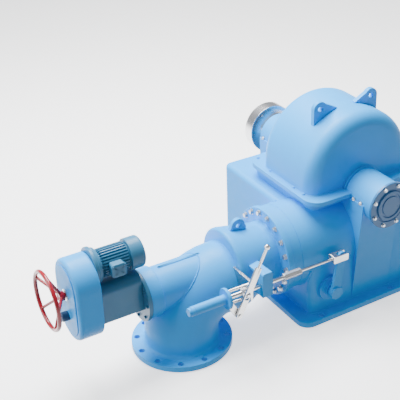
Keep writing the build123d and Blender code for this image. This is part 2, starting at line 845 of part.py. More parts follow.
def make_lever_bracket():
    """Plate from the barrel flange down to the hand lever's pivot pin."""
    far_y = lever_bracket_far_y()
    near_y = far_y - lever_bracket_thickness
    high = rod_z - trip_block_size / 2 - running_clearance
    pad = Pos(lever_pivot_x, lever_pivot_z) * Circle(lever_bracket_round)
    seat = Pos(flange_front_x + lever_bracket_seat_length / 2, high - lever_bracket_seat_height / 2)
    seat *= Rectangle(lever_bracket_seat_length, lever_bracket_seat_height)
    outline = make_hull((pad + seat).edges())
    bracket = plate_xz(outline, near_y, far_y)
    return bracket + cylinder_y(lever_pivot_radius, lever_y - lever_thickness, near_y,
                                lever_pivot_x, lever_pivot_z)


def make_hand_lever():
    """Hand lever: a slotted plate, a round grip and a ball, leaning with the rod at rest."""
    reach = (rod_z - lever_pivot_z) / cos(radians(lever_lean))
    half = lever_plate_width / 2
    plate = Pos(0, lever_plate_length / 2) * Rectangle(lever_plate_width, lever_plate_length)
    plate += Circle(half)
    plate -= Circle(lever_pivot_radius + journal_clearance)
    slot_width = 2 * (trip_pin_radius + open_pivot_gap)
    plate -= Pos(0, reach - lever_slot_drop) * Rectangle(slot_width, lever_slot_travel + slot_width)
    body = plate_xz(plate, -lever_thickness / 2, lever_thickness / 2)
    grip_end = lever_plate_length + lever_grip_length
    body += cylinder_z(lever_grip_radius, lever_plate_length - lever_grip_root, grip_end, 0, 0)
    body += Pos(0, 0, grip_end) * Sphere(lever_knob_radius)
    return Pos(lever_pivot_x, lever_y, lever_pivot_z) * Rot(0, lever_lean, 0) * body


lower_casing = make_lower_casing()

parts = {
    "base_plate": make_base_plate(),
    "lower_casing": lower_casing,
    "nozzle_stub": make_nozzle_stub(),
    "hood": make_hood(),
    "hood_lug_left": make_hood_lug(-1),
    "hood_lug_right": make_hood_lug(1),
    "near_pedestal": make_near_pedestal(),
    "far_pedestal": make_far_pedestal(),
    "near_bearing_housing": make_near_bearing_housing(),
    "near_bearing_cap": make_near_bearing_cap(),
    "far_bearing_housing": make_far_bearing_housing(),
    "far_seal_ring": make_far_seal_ring(),
    "rotor_shaft": make_rotor_shaft(),
    "shaft_coupling": make_shaft_coupling(),
    "inlet_flange": make_inlet_flange(),
    "inlet_bend": make_inlet_bend(),
    "nozzle_spool": make_nozzle_spool(),
    "spool_flange": make_spool_flange(),
    "spool_lug": make_spool_lug(),
    "needle_tube": make_needle_tube(),
    "tube_collar": make_tube_collar(),
    "gear_flange": make_gear_flange(),
    "gear_housing": make_gear_housing(),
    "gear_plate": make_gear_plate(),
    "gear_cover": make_gear_cover(),
    "gear_cover_plate": make_gear_cover_plate(),
    "spindle_boss": make_spindle_boss(),
    "handwheel_boss": make_handwheel_boss(),
    "handwheel_hub": make_handwheel_hub(),
    "handwheel_rim": make_handwheel_rim(),
    "motor_flange": make_motor_flange(),
    "motor_body": make_motor_body(),
    "motor_fan_cover": make_motor_fan_cover(),
    "motor_terminal_box": make_motor_terminal_box(),
    "servo_barrel": make_servo_barrel(),
    "barrel_flange": make_barrel_flange(),
    "rod_yoke": make_rod_yoke(),
    "rod_guide": make_rod_guide(),
    "servo_rod": make_servo_rod(),
    "link_rod": make_link_rod(),
    "rod_fork": make_rod_fork(),
    "crank_bearing": make_crank_bearing(),
    "deflector_crank": make_deflector_crank(),
    "lever_bracket": make_lever_bracket(),
    "hand_lever": make_hand_lever(),
}

os.makedirs("parts", exist_ok=True)
for name, shape in parts.items():
    export_step(shape, f"parts/{name}.step")
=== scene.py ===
import bpy
import bmesh
import json
import numpy as np
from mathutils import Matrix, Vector

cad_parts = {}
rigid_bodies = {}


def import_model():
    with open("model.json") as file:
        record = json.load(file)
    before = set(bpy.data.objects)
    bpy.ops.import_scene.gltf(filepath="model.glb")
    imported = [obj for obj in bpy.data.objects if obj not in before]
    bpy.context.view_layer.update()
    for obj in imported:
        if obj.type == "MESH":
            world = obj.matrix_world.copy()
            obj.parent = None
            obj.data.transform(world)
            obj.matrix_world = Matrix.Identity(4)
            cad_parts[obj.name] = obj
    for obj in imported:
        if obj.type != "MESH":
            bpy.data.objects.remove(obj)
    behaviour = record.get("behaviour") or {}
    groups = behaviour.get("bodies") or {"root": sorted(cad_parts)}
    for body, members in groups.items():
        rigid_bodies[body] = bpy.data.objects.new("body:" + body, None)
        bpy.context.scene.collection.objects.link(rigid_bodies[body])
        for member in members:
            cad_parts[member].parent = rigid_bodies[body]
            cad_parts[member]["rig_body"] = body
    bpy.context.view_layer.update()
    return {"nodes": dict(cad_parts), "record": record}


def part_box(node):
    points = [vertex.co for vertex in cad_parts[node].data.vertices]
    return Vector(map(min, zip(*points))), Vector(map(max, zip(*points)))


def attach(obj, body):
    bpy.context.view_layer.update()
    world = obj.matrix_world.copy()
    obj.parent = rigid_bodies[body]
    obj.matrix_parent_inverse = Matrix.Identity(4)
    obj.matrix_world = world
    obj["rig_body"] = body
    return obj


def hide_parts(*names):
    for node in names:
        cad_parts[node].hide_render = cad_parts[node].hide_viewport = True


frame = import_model()
nodes = frame["nodes"]
scene = bpy.context.scene


def low(node, axis):
    """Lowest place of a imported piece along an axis."""
    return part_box(node)[0]["xyz".index(axis)]


def high(node, axis):
    """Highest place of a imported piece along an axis."""
    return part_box(node)[1]["xyz".index(axis)]


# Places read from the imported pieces, in metres
shaft_z = (low("rotor_shaft", "z") + high("rotor_shaft", "z")) / 2
jet_z = (low("nozzle_stub", "z") + high("nozzle_stub", "z")) / 2
rod_y = (low("barrel_flange", "y") + high("barrel_flange", "y")) / 2
rod_z = (low("barrel_flange", "z") + high("barrel_flange", "z")) / 2
motor_z = (low("motor_flange", "z") + high("motor_flange", "z")) / 2

# For each axis: the axis itself and the two directions that a sweep about it starts from
frames = {"x": np.array([[1, 0, 0], [0, 1, 0], [0, 0, 1]], float),
          "y": np.array([[0, 1, 0], [0, 0, 1], [1, 0, 0]], float),
          "z": np.array([[0, 0, 1], [1, 0, 0], [0, 1, 0]], float)}


# Finishes
def start_finish(name):
    """New material, its node tree, its shader and the node that gives the places on the piece."""
    material = bpy.data.materials.new(name)
    material.use_nodes = True
    tree = material.node_tree
    return material, tree, tree.nodes["Principled BSDF"], tree.nodes.new("ShaderNodeTexCoord")


def clouds(tree, place, scale, detail):
    """Noise on the piece's own places."""
    noise = tree.nodes.new("ShaderNodeTexNoise")
    noise.inputs["Scale"].default_value = scale
    noise.inputs["Detail"].default_value = detail
    tree.links.new(place.outputs["Object"], noise.inputs["Vector"])
    return noise


def tinted(tree, noise, shader, dark, light):
    """Base colour between a dark and a light shade, by the noise."""
    tint = tree.nodes.new("ShaderNodeValToRGB")
    for end, position, colour in zip(tint.color_ramp.elements, (0.3, 0.7), (dark, light)):
        end.position = position
        end.color = (*colour, 1)
    tree.links.new(noise.outputs["Fac"], tint.inputs["Fac"])
    tree.links.new(tint.outputs["Color"], shader.inputs["Base Color"])


def dulled(tree, source, shader, low_end, high_end, low_in=0.0, high_in=1.0):
    """Roughness between two ends, by the source's value."""
    dull = tree.nodes.new("ShaderNodeMapRange")
    dull.inputs["From Min"].default_value = low_in
    dull.inputs["From Max"].default_value = high_in
    dull.inputs["To Min"].default_value = low_end
    dull.inputs["To Max"].default_value = high_end
    tree.links.new(source.outputs["Fac"], dull.inputs["Value"])
    tree.links.new(dull.outputs["Result"], shader.inputs["Roughness"])


def raised(tree, source, shader, strength, distance):
    """Fine relief, by the source's value."""
    bump = tree.nodes.new("ShaderNodeBump")
    bump.inputs["Strength"].default_value = strength
    bump.inputs["Distance"].default_value = distance
    tree.links.new(source.outputs["Fac"], bump.inputs["Height"])
    tree.links.new(bump.outputs["Normal"], shader.inputs["Normal"])


def enamel(name, colour, roughness, coat, ripple, mottle):
    """Sprayed enamel: the colour wanders a little in soft clouds, dust dulls it in spots and the
    height has the fine ripple of a sprayed coat."""
    material, tree, shader, place = start_finish(name)
    shader.inputs["Coat Weight"].default_value = coat
    shader.inputs["Coat Roughness"].default_value = 0.12
    shader.inputs["Specular IOR Level"].default_value = 0.20
    drift = clouds(tree, place, 5.0, 6.0)
    drift.inputs["Roughness"].default_value = 0.6
    tinted(tree, drift, shader, [c * (1 - mottle) for c in colour],
           [min(1.0, c * (1 + mottle)) for c in colour])
    dulled(tree, clouds(tree, place, 28.0, 4.0), shader, roughness * 0.85, roughness * 1.15, 0.3, 0.7)
    raised(tree, clouds(tree, place, 90.0, 2.0), shader, ripple, 0.0015)
    return material


def turned_metal(name, colour, roughness, direction="Y", centre=(0, 0, 0), scale=150.0, depth=0.25):
    """Machined metal: fine rings round the piece's axis from the lathe tool, with a faint stain."""
    material, tree, shader, place = start_finish(name)
    shader.inputs["Metallic"].default_value = 1.0
    shift = tree.nodes.new("ShaderNodeMapping")
    shift.inputs["Location"].default_value = [-c for c in centre]
    tree.links.new(place.outputs["Object"], shift.inputs["Vector"])
    rings = tree.nodes.new("ShaderNodeTexWave")
    rings.wave_type = "RINGS"
    rings.rings_direction = direction
    rings.inputs["Scale"].default_value = scale
    rings.inputs["Distortion"].default_value = 0.6
    tree.links.new(shift.outputs["Vector"], rings.inputs["Vector"])
    tinted(tree, clouds(tree, place, 14.0, 5.0), shader, [c * 0.86 for c in colour], colour)
    dulled(tree, rings, shader, roughness * 0.8, roughness * 1.25)
    raised(tree, rings, shader, depth, 0.0004)
    return material


sky_enamel = enamel("sky_enamel", (0.012, 0.36, 0.88), 0.44, 0.04, 0.10, 0.03)
slate_enamel = enamel("slate_enamel", (0.040, 0.175, 0.31), 0.38, 0.08, 0.12, 0.05)
cap_enamel = enamel("cap_enamel", (0.030, 0.15, 0.36), 0.32, 0.2, 0.12, 0.05)
# Near-black blue enamel that paints shade onto recessed pieces: the gear plate, the far seal ring and the
# spindle boss
painted_shade_enamel = enamel("painted_shade_enamel", (0.020, 0.06, 0.13), 0.38, 0.1, 0.12, 0.05)
red_enamel = enamel("red_enamel", (0.30, 0.008, 0.018), 0.26, 0.4, 0.08, 0.04)
coupling_steel = turned_metal("coupling_steel", (0.78, 0.78, 0.80), 0.20, "Y", (0, 0, shaft_z))
rod_steel = turned_metal("rod_steel", (0.62, 0.62, 0.62), 0.27, "X", (0, rod_y, rod_z), 220.0, 0.15)
bolt_steel = turned_metal("bolt_steel", (0.46, 0.49, 0.53), 0.34, "Z", (0, 0, 0), 60.0, 0.1)
black_steel = turned_metal("black_steel", (0.10, 0.12, 0.15), 0.38, "Z", (0, 0, 0), 60.0, 0.1)

slots = {"blue_paint": sky_enamel, "dark_blue_paint": slate_enamel, "red_paint": red_enamel,
         "bright_steel": rod_steel}
slot_of = {id(sky_enamel): "blue_paint", id(slate_enamel): "dark_blue_paint",
           id(cap_enamel): "dark_blue_paint", id(painted_shade_enamel): "dark_blue_paint",
           id(red_enamel): "red_paint"}
for part in frame["record"]["subparts"]:
    node = nodes[part["node"]]
    node.data.materials.clear()
    node.data.materials.append(slots[part["material_slot"]])


# Ways of making a surface
def grid_faces(rows, columns, rows_join=False):
    """Four-cornered faces of a grid of points, row by row. The columns close round, and joined
    rows do too."""
    row = np.arange(rows if rows_join else rows - 1)[:, None]
    column = np.arange(columns)[None, :]
    next_row = (row + 1) % rows
    next_column = (column + 1) % columns
    corners = (row * columns + column, row * columns + next_column,
               next_row * columns + next_column, next_row * columns + column)
    return np.stack(np.broadcast_arrays(*corners), -1).reshape(-1, 4)


def dress(name, points, faces, finish, corner=40.0):
    """Puts the points and faces into a mesh, closes seams and poles, turns the faces outwards and
    smooths all but the corners sharper than the given angle."""
    mesh = bpy.data.meshes.new(name)
    mesh.from_pydata(np.asarray(points).reshape(-1, 3).tolist(), [], np.asarray(faces).tolist())
    work = bmesh.new()
    work.from_mesh(mesh)
    bmesh.ops.remove_doubles(work, verts=work.verts, dist=1e-6)
    bmesh.ops.dissolve_degenerate(work, edges=work.edges, dist=1e-7)
    bmesh.ops.recalc_face_normals(work, faces=work.faces)
    work.to_mesh(mesh)
    work.free()
    mesh.shade_smooth()
    mesh.set_sharp_from_angle(angle=np.radians(corner))
    mesh.materials.append(finish)
    piece = bpy.data.objects.new(name, mesh)
    scene.collection.objects.link(piece)
    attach(piece, "frame")
    slot_of.get(id(finish), "bright_steel")
    return piece


def rounded(corners, closed=False, steps=4):
    """Line through corners (u, v, rounding). Each rounding is an arc tangent to both sides, swung
    about a centre on the corner's bisector, with a close point before and after it that keeps
    the flat sides flat."""
    corners = np.array([c if len(c) == 3 else (*c, 0.0) for c in corners], float)
    count = len(corners)
    points = []
    for index, (u, v, rounding) in enumerate(corners):
        place = np.array([u, v])
        if rounding == 0 or (not closed and index in (0, count - 1)):
            points.append(place[None])
            continue
        into = place - corners[index - 1, :2]
        out = corners[(index + 1) % count, :2] - place
        into /= np.linalg.norm(into)
        out /= np.linalg.norm(out)
        swing = np.arccos(np.clip(into @ out, -1, 1))
        reach = rounding * np.tan(swing / 2)
        bisector = (out - into) / np.linalg.norm(out - into)
        centre = place + bisector * rounding / np.cos(swing / 2)
        start = place - into * reach - centre
        end = place + out * reach - centre
        share = np.linspace(0, 1, steps + 1)[:, None]
        arc = np.sin((1 - share) * swing) * start + np.sin(share * swing) * end
        arc = centre + arc / np.sin(swing)
        guard = 0.12 * rounding
        points += [(place - into * (reach + guard))[None], arc,
                   (place + out * (reach + guard))[None]]
    return np.vstack(points)


def turned(name, corners, axis, centre, finish, around=96, ring=False):
    """Surface turned about an axis: the rounded profile gives the distance along the axis and the
    radius, and each profile point is swung round as centre + along + radius * (cos, sin)."""
    profile = rounded(corners, ring)
    along, first, second = frames[axis]
    angle = np.linspace(0, 2 * np.pi, around, endpoint=False)
    sweep = np.cos(angle)[:, None] * first + np.sin(angle)[:, None] * second
    base = np.array(centre, float) * (1 - along)
    points = base + profile[:, 0, None, None] * along + profile[:, 1, None, None] * sweep[None]
    return dress(name, points, grid_faces(len(profile), around, ring), finish)


def lofted(name, outline, layers, axis, finish):
    """Closed outline carried along an axis: each layer (inset, height) moves every outline point
    inwards along its normal and up, and the first and last layers close on the middle."""
    outline = rounded(outline, True)
    along, first, second = frames[axis]
    tangent = np.roll(outline, -1, 0) - np.roll(outline, 1, 0)
    normal = np.stack([tangent[:, 1], -tangent[:, 0]], 1)
    normal /= np.linalg.norm(normal, axis=1)[:, None]
    layers = rounded(layers)
    flat = outline[None] - normal[None] * layers[:, 0, None, None]
    middle = np.broadcast_to(outline.mean(0), flat[:1].shape)
    flat = np.concatenate([middle, flat, middle])
    height = np.concatenate([layers[:1, 1], layers[:, 1], layers[-1:, 1]])
    points = flat[..., :1] * first + flat[..., 1:] * second + height[:, None, None] * along
    return dress(name, points, grid_faces(len(flat), len(outline)), finish)


def box_outline(u0, u1, v0, v1, rounding):
    """Corners of a rectangle, each with the same rounding."""
    return [(u0, v0, rounding), (u1, v0, rounding), (u1, v1, rounding), (u0, v1, rounding)]


def slab_layers(start, end, edge):
    """Layers of a slab with eased edges between two heights."""
    return [(edge * 3, start, 0), (0, start, edge), (0, end, edge), (edge * 3, end, 0)]


def eased(node, width, finish=None, angle=32.0):
    """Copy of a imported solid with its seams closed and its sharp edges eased, in place of the solid."""
    source = nodes[node]
    mesh = source.data.copy()
    mesh.name = "eased_" + node
    work = bmesh.new()
    work.from_mesh(mesh)
    bmesh.ops.remove_doubles(work, verts=work.verts, dist=2e-6)
    bmesh.ops.dissolve_limit(work, angle_limit=np.radians(0.4), verts=work.verts, edges=work.edges)
    work.to_mesh(mesh)
    work.free()
    if finish:
        mesh.materials.clear()
        mesh.materials.append(finish)
    mesh.shade_smooth()
    mesh.set_sharp_from_angle(angle=np.radians(angle))
    piece = bpy.data.objects.new("eased_" + node, mesh)
    scene.collection.objects.link(piece)
    bevel = piece.modifiers.new("ease", "BEVEL")
    bevel.width = width
    bevel.segments = 2
    bevel.limit_method = "ANGLE"
    bevel.angle_limit = np.radians(angle)
    bevel.harden_normals = True
    bevel.use_clamp_overlap = True
    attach(piece, source["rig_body"])
    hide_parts(node)
    return piece


def bead(name, path, radius, closed=True):
    """Weld bead: a small circle carried along a path, swelling and sinking once each pitch."""
    ripple, pitch, around = 0.10, 0.006, 10
    path = np.asarray(path, float)
    if closed:
        tangent = np.roll(path, -1, 0) - np.roll(path, 1, 0)
    else:
        tangent = np.gradient(path, axis=0)
    tangent /= np.linalg.norm(tangent, axis=1)[:, None]
    helper = np.where(np.abs(tangent[:, 2:3]) > 0.9, [[1.0, 0, 0]], [[0, 0, 1.0]])
    side = np.cross(tangent, helper)
    side /= np.linalg.norm(side, axis=1)[:, None]
    up = np.cross(side, tangent)
    step = np.linalg.norm(np.diff(path, axis=0, prepend=path[:1]), axis=1)
    swell = radius * (1 + ripple * np.sin(2 * np.pi * np.cumsum(step) / pitch))
    angle = np.linspace(0, 2 * np.pi, around, endpoint=False)
    spokes = np.cos(angle)[None, :, None] * side[:, None] + np.sin(angle)[None, :, None] * up[:, None]
    points = path[:, None] + swell[:, None, None] * spokes
    if not closed:
        points = np.concatenate([np.broadcast_to(path[:1, None], points[:1].shape), points,
                                 np.broadcast_to(path[-1:, None], points[:1].shape)])
    return dress(name, points, grid_faces(len(points), around, closed), sky_enamel, 60)


def bolts(name, places, direction, across, height, finish=bolt_steel, washer=True, round_head=False):
    """Hexagon bolt heads with washers, or round screw heads with a socket, all in one mesh. Round a
    hexagon the radius is the apothem over the cosine of the angle from the nearest flat, and the
    top is trimmed by a cone."""
    around = 24
    angle = np.linspace(0, 2 * np.pi, around, endpoint=False)
    flat = np.full(around, across / 2)
    if not round_head:
        flat = flat / np.cos((angle + np.pi / 6) % (np.pi / 3) - np.pi / 6)
    trim = np.minimum(flat, across / 2 * 1.02)
    disc = np.full(around, across * 0.68)
    thick = height * 0.2 if washer else 0.0
    rings = [(flat, thick), (flat, height * 0.88), (trim, height * 0.94), (trim * 0.88, height)]
    if washer:
        rings = [(disc * 0, 0), (disc, 0), (disc, thick * 0.8), (disc * 0.96, thick)] + rings
    if round_head:
        rings += [(trim * 0.45, height), (trim * 0.42, height * 0.55), (trim * 0, height * 0.55)]
    else:
        rings.append((trim * 0, height))
    radius = np.stack([ring[0] for ring in rings])
    level = np.array([ring[1] for ring in rings])
    direction = np.array(direction, float)
    helper = np.array([1.0, 0, 0]) if abs(direction[2]) > 0.9 else np.array([0, 0, 1.0])
    side = np.cross(direction, helper)
    side /= np.linalg.norm(side)
    up = np.cross(direction, side)
    spokes = np.cos(angle)[None, :, None] * side + np.sin(angle)[None, :, None] * up
    head = (radius[..., None] * spokes + level[:, None, None] * direction).reshape(-1, 3)
    places = np.asarray(places, float).reshape(-1, 3)
    points = (places[:, None] + head[None]).reshape(-1, 3)
    faces = grid_faces(len(radius), around)
    faces = (faces[None] + np.arange(len(places))[:, None, None] * len(head)).reshape(-1, 4)
    return dress(name, points, faces, finish, 30)


def circle_places(axis, along_at, centre, radius, count, phase=0.0):
    """Evenly spaced places on a circle about an axis, from the phase angle on."""
    along, first, second = frames[axis]
    angle = np.radians(phase) + np.linspace(0, 2 * np.pi, count, endpoint=False)[:, None]
    base = np.array(centre, float) * (1 - along) + along_at * along
    return base + radius * (np.cos(angle) * first + np.sin(angle) * second)


def even_path(outline, height, count):
    """Outline walked in equal steps at one height."""
    loop = np.vstack([outline, outline[:1]])
    length = np.concatenate([[0], np.cumsum(np.linalg.norm(np.diff(loop, axis=0), axis=1))])
    walk = np.linspace(0, length[-1], count, endpoint=False)
    return np.stack([np.interp(walk, length, loop[:, 0]), np.interp(walk, length, loop[:, 1]),
                     np.full(count, height)], 1)


def solve(inside, start, end):
    """Halves the span between a place outside and a place inside until they meet, for all at once."""
    for _ in range(40):
        middle = (start + end) / 2
        hit = inside(middle)
        end = np.where(hit, middle, end)
        start = np.where(hit, start, middle)
    return (start + end) / 2


def lamp(name, place, target, size, power, colour=(1, 1, 1)):
    """Soft rectangular studio light that faces its target."""
    light = bpy.data.lights.new(name, "AREA")
    light.shape = "RECTANGLE"
    light.size, light.size_y = size
    light.energy = power
    light.color = colour
    holder = bpy.data.objects.new(name, light)
    scene.collection.objects.link(holder)
    holder.location = place
    holder.rotation_euler = (Vector(target) - Vector(place)).to_track_quat("-Z", "Y").to_euler()


# Base plate
eased("base_plate", 0.0015)
foot = high("base_plate", "z")

# Lower casing and pedestals
case_side = high("lower_casing", "x")
case_near, case_far = high("crank_bearing", "y"), high("lower_casing", "y")
case_corner = 0.028
outline = rounded(box_outline(-case_side, case_side, case_near, case_far, case_corner), True, 6)
bead("casing_foot_weld", even_path(outline, foot, 1400), 0.004)
eased("near_pedestal", 0.0025)
eased("far_pedestal", 0.0025)

# Hood
eased("hood", 0.003)
hood_flange_thick = 0.023
hood_half, hood_corner = 0.294, 0.065
flange_top = low("hood", "z") + hood_flange_thick
hood_near, hood_far = high("near_bearing_housing", "y"), low("far_bearing_housing", "y")
outline = rounded(box_outline(-hood_half, hood_half, hood_near, hood_far, hood_corner), True, 8)
bead("hood_foot_weld", even_path(outline, flange_top, 1200), 0.0035)
flange_bolts = [(x, y, flange_top) for x in (-0.296, 0.296) for y in (-0.040, 0.037, 0.236)]
bolts("hood_flange_bolts", flange_bolts + [(-0.272, 0.381, flange_top), (0.272, 0.381, flange_top)],
      (0, 0, 1), 0.013, 0.008, sky_enamel)
eased("hood_lug_left", 0.003)
eased("hood_lug_right", 0.003)

# Near bearing
bearing_end = low("near_bearing_housing", "y")
bearing_radius, cap_radius = 0.104, 0.114
turned("near_bearing_body",
       [(hood_near + 0.004, 0.0), (hood_near + 0.004, 0.111, 0.002), (hood_near - 0.004, 0.111, 0.002),
        (hood_near - 0.004, 0.105), (hood_near - 0.007, 0.105), (hood_near - 0.007, 0.109, 0.003),
        (hood_near - 0.016, 0.109, 0.003), (hood_near - 0.016, 0.100), (hood_near - 0.021, 0.100),
        (hood_near - 0.021, bearing_radius, 0.002), (bearing_end, bearing_radius, 0.003),
        (bearing_end, 0.0)],
       "y", (0, 0, shaft_z), sky_enamel)
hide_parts("near_bearing_housing")
cap_thick, cap_bolt_circle = 0.015, 0.098
cap_face = bearing_end - cap_thick
turned("near_cap_body",
       [(bearing_end, 0.0), (bearing_end, 0.106), (bearing_end - 0.002, 0.106),
        (bearing_end - 0.002, cap_radius, 0.0015), (cap_face, cap_radius, 0.003),
        (cap_face, 0.083, 0.001), (cap_face + 0.004, 0.081, 0.001),
        (cap_face + 0.004, 0.076, 0.001), (cap_face - 0.005, 0.073, 0.002),
        (cap_face - 0.005, 0.060, 0.002), (cap_face, 0.057, 0.001), (cap_face, 0.048, 0.001),
        (cap_face - 0.004, 0.046, 0.001), (cap_face - 0.004, 0.0)],
       "y", (0, 0, shaft_z), cap_enamel)
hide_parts("near_bearing_cap")
bolts("near_cap_bolts", circle_places("y", cap_face, (0, 0, shaft_z), cap_bolt_circle, 8, 22.5),
      (0, -1, 0), 0.014, 0.009)
ledge_bolt_x, ledge_bolt_across, ledge_bolt_height = 0.104, 0.019, 0.013
ledge = [(x, y, shaft_z) for x in (-ledge_bolt_x, ledge_bolt_x) for y in (-0.172, -0.222)]
bolts("near_ledge_bolts", ledge, (0, 0, 1), ledge_bolt_across, ledge_bolt_height)

# Far bearing and coupling
far_end = high("far_bearing_housing", "y")
turned("far_bearing_body",
       [(hood_far - 0.004, 0.0), (hood_far - 0.004, 0.111, 0.002), (hood_far + 0.012, 0.111, 0.003),
        (hood_far + 0.012, 0.101), (hood_far + 0.017, 0.101),
        (hood_far + 0.017, bearing_radius, 0.002), (far_end, bearing_radius, 0.003), (far_end, 0.0)],
       "y", (0, 0, shaft_z), sky_enamel)
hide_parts("far_bearing_housing")
# The far seal ring takes the near-black enamel as painted shade
eased("far_seal_ring", 0.0015, finish=painted_shade_enamel)
seal_bolt_circle = 0.070
seal_face = high("far_seal_ring", "y")
bolts("far_seal_bolts", circle_places("y", seal_face, (0, 0, shaft_z), seal_bolt_circle, 6, 30),
      (0, 1, 0), 0.011, 0.006, black_steel)
ledge = [(x, y, shaft_z) for x in (-ledge_bolt_x, ledge_bolt_x) for y in (0.475, 0.587)]
bolts("far_ledge_bolts", ledge, (0, 0, 1), ledge_bolt_across, ledge_bolt_height)
eased("shaft_coupling", 0.0025, finish=coupling_steel, angle=40)
nodes["rotor_shaft"].data.materials[0] = coupling_steel

# Nozzle stub, bolted flange and spool
stub_face, stub_root = low("nozzle_stub", "x"), high("nozzle_stub", "x")
stub_radius = 0.204
seam_rear, seam_front, seam_radius = -0.408, -0.406, 0.2025
turned("stub_body",
       [(stub_face, 0.0), (stub_face, stub_radius, 0.002), (seam_rear, stub_radius, 0.0006),
        (seam_rear, seam_radius), (seam_front, seam_radius), (seam_front, stub_radius, 0.0006),
        (stub_root, stub_radius), (stub_root, 0.0)],
       "x", (0, 0, jet_z), sky_enamel, around=144)
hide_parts("nozzle_stub")
weld_count, weld_radius = 580, 0.2045
swing = np.radians(np.linspace(194, 424, weld_count))
bead("stub_root_weld", np.stack([np.full(weld_count, stub_root), weld_radius * np.cos(swing),
                                 jet_z + weld_radius * np.sin(swing)], 1), 0.0045, closed=False)
flange_front, flange_rear = high("spool_flange", "x"), low("spool_flange", "x")
spool_flange_radius, spool_bolt_circle, spool_neck_radius = 0.213, 0.192, 0.147
flange_bore, flange_recess = 0.127, 0.001
turned("spool_flange_body",
       [(flange_rear, flange_bore), (flange_rear, spool_flange_radius, 0.003),
        (flange_front - flange_recess, spool_flange_radius, 0.002),
        (flange_front - flange_recess, 0.208), (flange_front, 0.208), (flange_front, flange_bore)],
       "x", (0, 0, jet_z), sky_enamel, around=144, ring=True)
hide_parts("spool_flange")
bolts("spool_flange_bolts", circle_places("x", flange_rear, (0, 0, jet_z), spool_bolt_circle, 18),
      (-1, 0, 0), 0.021, 0.014)
bead("spool_neck_weld", circle_places("x", flange_rear, (0, 0, jet_z), spool_neck_radius, 700), 0.004)
eased("spool_lug", 0.002)

# Bend: where its outside meets the tube and the spool
bend_x, bend_z, bend_radius, bend_tube_radius = -0.749, 0.090, 0.185, 0.168
bend_run = 0.060
needle_tube_radius, spool_radius = 0.103, 0.177
weld_count = 700
weld_angle = np.linspace(0, 2 * np.pi, weld_count, endpoint=False)
tube_y = needle_tube_radius * np.sin(weld_angle)
tube_z = jet_z + needle_tube_radius * np.cos(weld_angle)


def in_bend(x):
    """True where the tube's line at x lies within the round of the bend about its ring."""
    from_ring = np.hypot(x - bend_x, tube_z - bend_z) - bend_radius
    return np.hypot(from_ring, tube_y) < bend_tube_radius


tube_x = solve(in_bend, np.full(weld_count, -1.15), np.full(weld_count, bend_x))
tube_x = np.maximum(tube_x, high("tube_collar", "x") - 0.002)
bead("tube_weld", np.stack([tube_x, tube_y, tube_z], 1), 0.0035)


def bend_skin(walk):
    """Point of the bend's outside: level run first, then over the round end."""
    over = np.maximum(walk - bend_run, 0) / bend_tube_radius
    x = bend_x + np.minimum(walk, bend_run) + bend_tube_radius * np.sin(over)
    reach = bend_tube_radius * np.cos(over)
    return x, reach * np.sin(weld_angle), bend_z + bend_radius + reach * np.cos(weld_angle)


def in_spool(walk):
    """True where that point lies within the spool's round and in front of its shoulder."""
    x, y, z = bend_skin(walk)
    return (x > low("nozzle_spool", "x")) & (np.hypot(y, z - jet_z) < spool_radius)


walk = solve(in_spool, np.zeros(weld_count), np.full(weld_count, bend_run + bend_tube_radius * 1.5))
bead("spool_weld", np.stack(bend_skin(walk), 1), 0.0035)
eased("inlet_flange", 0.0025)
eased("tube_collar", 0.0015)
key_rear, key_front, key_near, key_far, key_edge = -1.033, -0.826, -0.0005, 0.0105, 0.002
lofted("tube_key", box_outline(key_rear, key_front, key_near, key_far, key_edge),
       slab_layers(jet_z + 0.100, jet_z + 0.107, key_edge), "z", sky_enamel)

# Gear case
flange_face = low("gear_flange", "x")
gear_flange_radius, gear_bolt_circle, gear_flange_thick = 0.118, 0.099, 0.020
turned("gear_flange_body",
       [(flange_face, 0.0), (flange_face, gear_flange_radius, 0.003),
        (flange_face + 0.018, gear_flange_radius, 0.002), (flange_face + 0.018, 0.112),
        (flange_face + gear_flange_thick, 0.112), (flange_face + gear_flange_thick, 0.0)],
       "x", (0, 0, jet_z), slate_enamel)
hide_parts("gear_flange")
around = np.radians([50, 90, 135, 180, 225, 270, 310])
places = np.stack([np.full(len(around), flange_face), gear_bolt_circle * np.sin(around),
                   jet_z + gear_bolt_circle * np.cos(around)], 1)
bolts("gear_flange_bolts", places, (-1, 0, 0), 0.012, 0.007, slate_enamel)
eased("gear_housing", 0.002)
# The gear plate and the spindle boss take the near-black enamel as painted shade
eased("gear_plate", 0.002, finish=painted_shade_enamel)
eased("gear_cover", 0.0015, angle=50)
eased("gear_cover_plate", 0.0015)
eased("spindle_boss", 0.001, finish=painted_shade_enamel)
nodes["handwheel_boss"].data.materials[0] = rod_steel

# Drive motor
front, back = low("motor_flange", "x"), high("motor_flange", "x")
motor_flange_radius = 0.084
turned("motor_flange_body",
       [(front, 0.0), (front, motor_flange_radius, 0.003), (front + 0.014, motor_flange_radius, 0.003),
        (front + 0.019, 0.078, 0.002), (back - 0.004, 0.074, 0.004), (back, 0.060), (back, 0.0)],
       "x", (0, 0, motor_z), slate_enamel)
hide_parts("motor_flange")
body_front, body_back = low("motor_body", "x"), high("motor_body", "x")
fins, fin_root, fin_height = 30, 0.0535, 0.0090
fin_angle = np.linspace(0, 2 * np.pi, fins * 12, endpoint=False)
tooth = np.clip(1.6 * np.cos(fins * fin_angle) + 0.4, 0, 1)
along = np.array([body_front, body_front, body_front + 0.004, body_front + 0.012, body_back - 0.012,
                  body_back - 0.004, body_back, body_back])
share = np.array([0.0, 1.0, 1.0, 1.0, 1.0, 1.0, 1.0, 0.0])
lift = np.array([0.0, 0.0, 0.0, 1.0, 1.0, 0.0, 0.0, 0.0])
ringed = (fin_root + lift[:, None] * fin_height * tooth[None]) * share[:, None]
